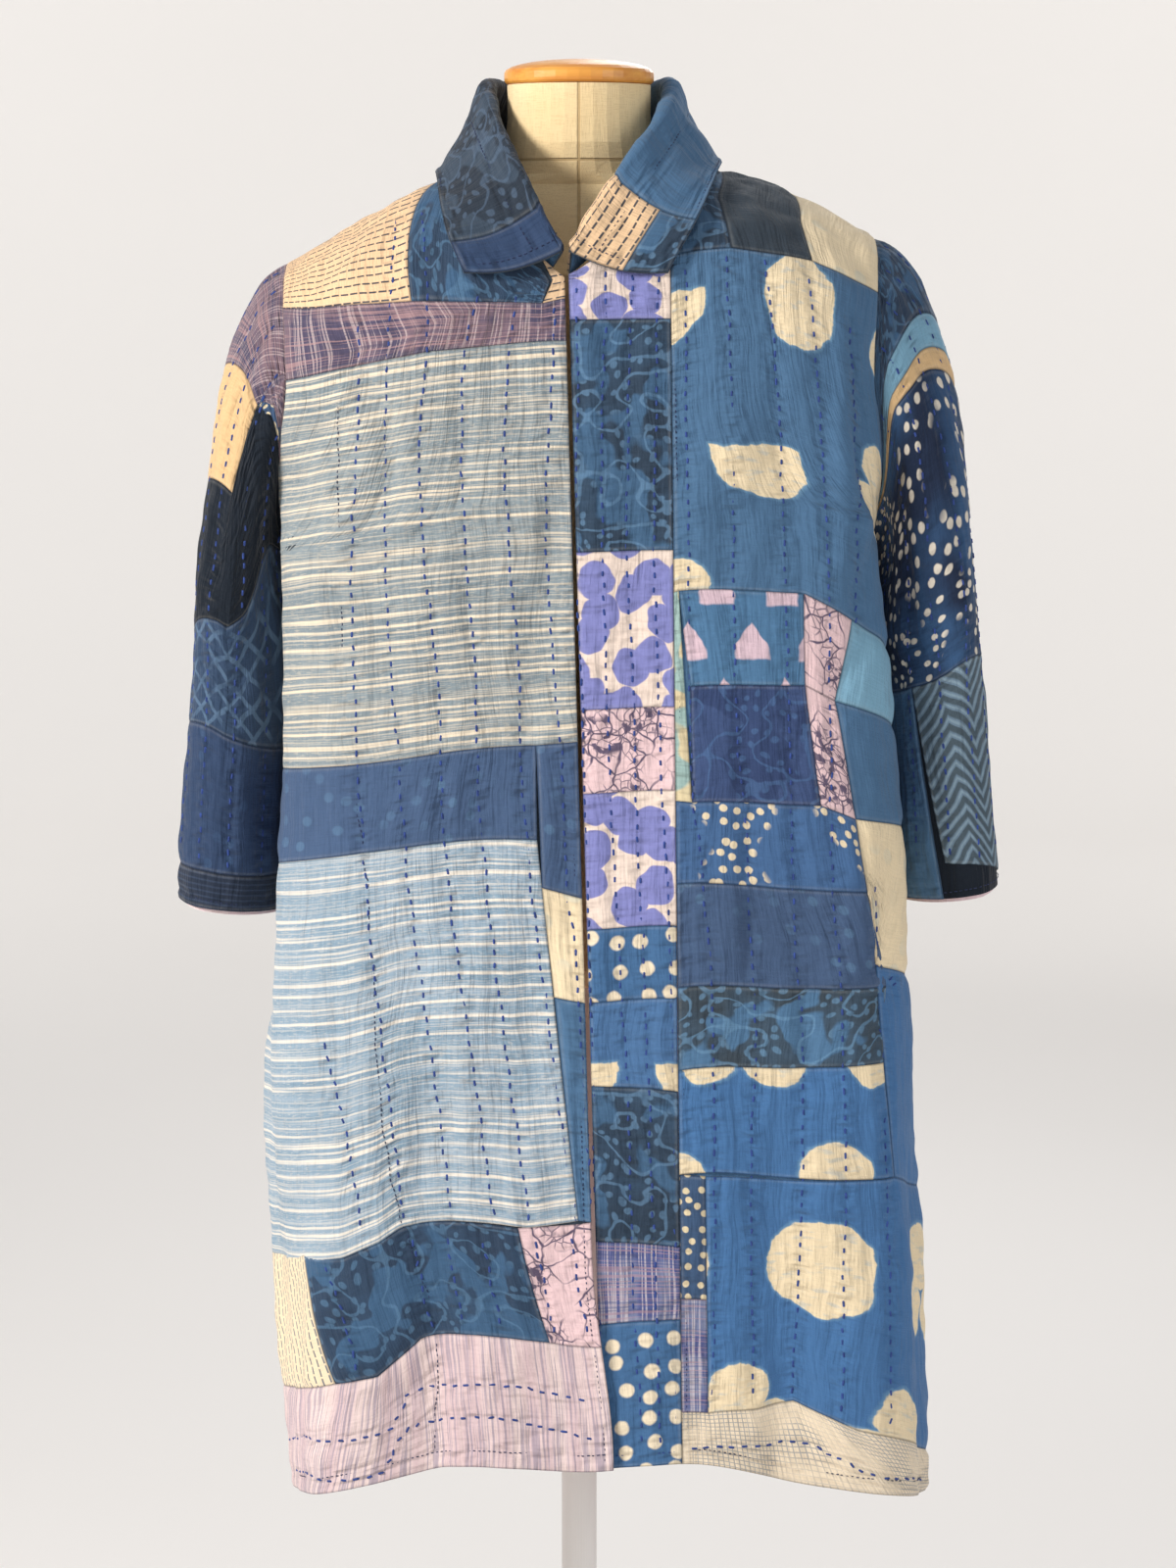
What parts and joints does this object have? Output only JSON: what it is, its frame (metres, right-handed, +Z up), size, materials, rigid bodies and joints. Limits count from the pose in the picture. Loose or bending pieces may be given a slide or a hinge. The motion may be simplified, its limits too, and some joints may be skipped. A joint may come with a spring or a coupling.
{
  "type": "patchwork happi coat on a dress form",
  "caption": "Knee-length open-front happi coat with fold-over collar and hanging sleeves, in stitched patchwork cotton, worn on a limbless dress form with a pole and a round base.",
  "frame": {"origin": "on the floor, on the axis of the pole", "axes": "+Z up, the coat's front faces -Y, the wearer's left is +X"},
  "size_m": [0.6423, 0.37, 1.5178],
  "materials": {
    "patchwork_cotton": "matt hand-stitched cotton",
    "lining_cotton": "matt thin cotton",
    "form_canvas": "matt stretched canvas",
    "turned_wood": "satin varnish",
    "painted_steel": "satin off-white paint"
  },
  "bodies": {
    "root": {"front_right": "patchwork_cotton", "front_left": "patchwork_cotton", "front_band_left": "patchwork_cotton", "back": "patchwork_cotton", "sleeve_right": "patchwork_cotton", "sleeve_left": "patchwork_cotton", "collar": "patchwork_cotton", "cuff_lining_right": "lining_cotton", "cuff_lining_left": "lining_cotton", "form_body": "form_canvas", "neck_cap": "turned_wood", "base": "turned_wood", "pole": "painted_steel"}
  },
  "joints": []
}
